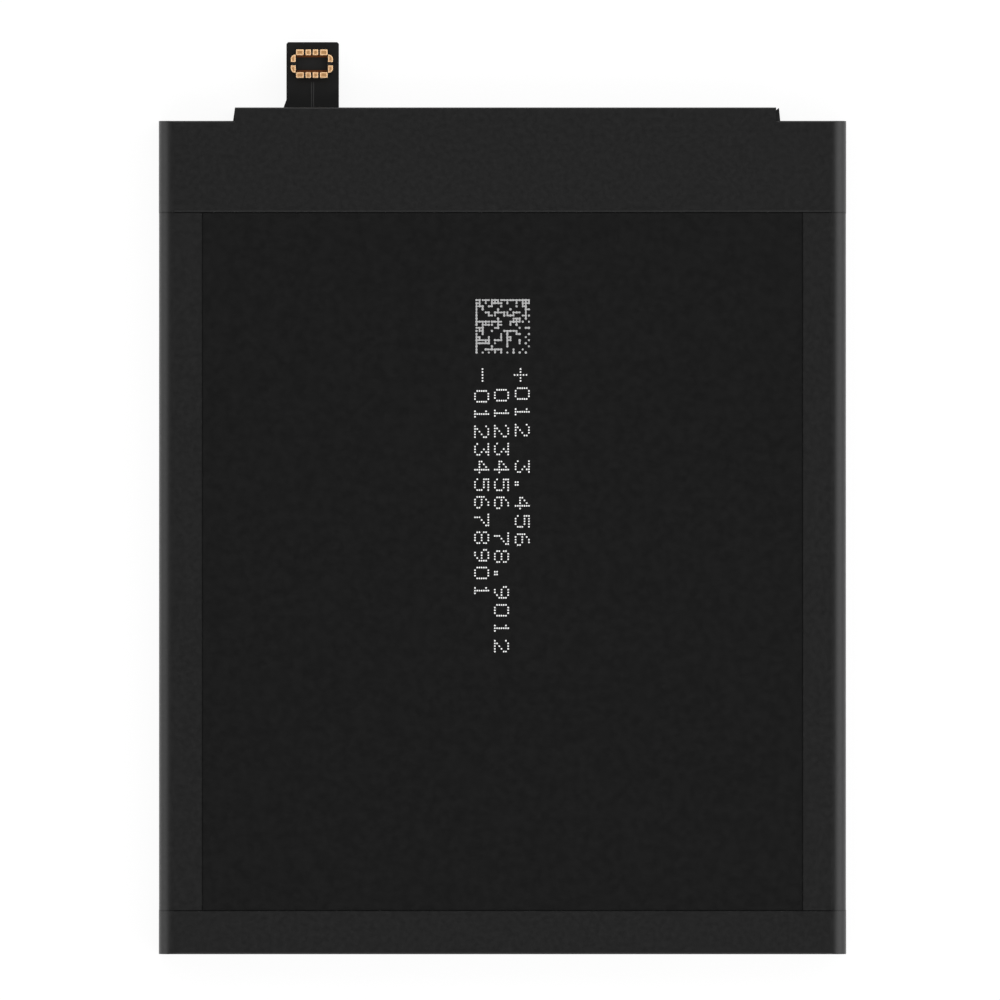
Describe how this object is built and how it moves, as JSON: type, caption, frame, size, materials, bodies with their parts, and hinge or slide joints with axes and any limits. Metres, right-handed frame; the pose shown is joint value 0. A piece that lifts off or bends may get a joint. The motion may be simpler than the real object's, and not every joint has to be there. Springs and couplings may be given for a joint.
{
  "type": "mobile phone battery",
  "caption": "Flat pouch battery for a phone: cell in a folded black film wrap, raised head over a protection board, and a flex tail ending in a board-to-board connector.",
  "frame": {"origin": "middle of the flat back face, halfway between the bottom edge and the shoulders", "axes": "+Z out of the front face, +Y towards the head and the flex tail, +X to the right seen from the front"},
  "size_m": [0.0672, 0.0891, 0.0044],
  "materials": {
    "wrap_film": "black film, satin",
    "pouch_laminate": "black laminated pouch foil, fine satin",
    "bracket_plastic": "moulded black plastic, matt",
    "insulating_tape": "amber film tape",
    "foam_tape": "closed-cell foam",
    "board_laminate": "dark green solder mask",
    "aluminium_tab": "bright rolled strip",
    "nickel": "rolled nickel",
    "seal_polymer": "milky polymer strip",
    "flex_film": "black coverlay film",
    "stiffener": "black laminate plate",
    "connector_plastic": "moulded black liquid-crystal polymer",
    "gold_plate": "gold plating, satin",
    "chip_plastic": "moulded package",
    "dark_ceramic": "thick-film chip with tinned ends",
    "tan_ceramic": "chip ceramic with tinned ends",
    "print_ink": "white ink-jet print on the cell"
  },
  "bodies": {
    "root": {"backup_protection_chip": "chip_plastic", "board_bracket": "bracket_plastic", "board_foam_tape": "foam_tape", "board_fuse": "dark_ceramic", "charge_switch": "chip_plastic", "chip_capacitor_1": "tan_ceramic", "chip_capacitor_2": "tan_ceramic", "chip_capacitor_3": "tan_ceramic", "chip_resistor_1": "dark_ceramic", "chip_resistor_2": "dark_ceramic", "chip_resistor_3": "dark_ceramic", "connector_anchor_1": "gold_plate", "connector_anchor_2": "gold_plate", "connector_anchor_3": "gold_plate", "connector_anchor_4": "gold_plate", "connector_housing": "connector_plastic", "discharge_switch": "chip_plastic", "flex_tail": "flex_film", "negative_tab": "nickel", "negative_tab_seal": "seal_polymer", "negative_tab_tape": "insulating_tape", "negative_weld_plate": "nickel", "positive_tab": "aluminium_tab", "positive_tab_seal": "seal_polymer", "positive_tab_tape": "insulating_tape", "positive_weld_plate": "nickel", "pouch_cell": "pouch_laminate", "power_contact_1": "gold_plate", "power_contact_2": "gold_plate", "power_contact_3": "gold_plate", "power_contact_4": "gold_plate", "protection_board": "board_laminate", "protection_chip": "chip_plastic", "sense_resistor": "dark_ceramic", "signal_contact_1": "gold_plate", "signal_contact_2": "gold_plate", "signal_contact_3": "gold_plate", "signal_contact_4": "gold_plate", "tail_stiffener": "stiffener", "terrace_insulator": "insulating_tape", "thermistor": "tan_ceramic", "wrap_film": "wrap_film"}
  },
  "joints": []
}
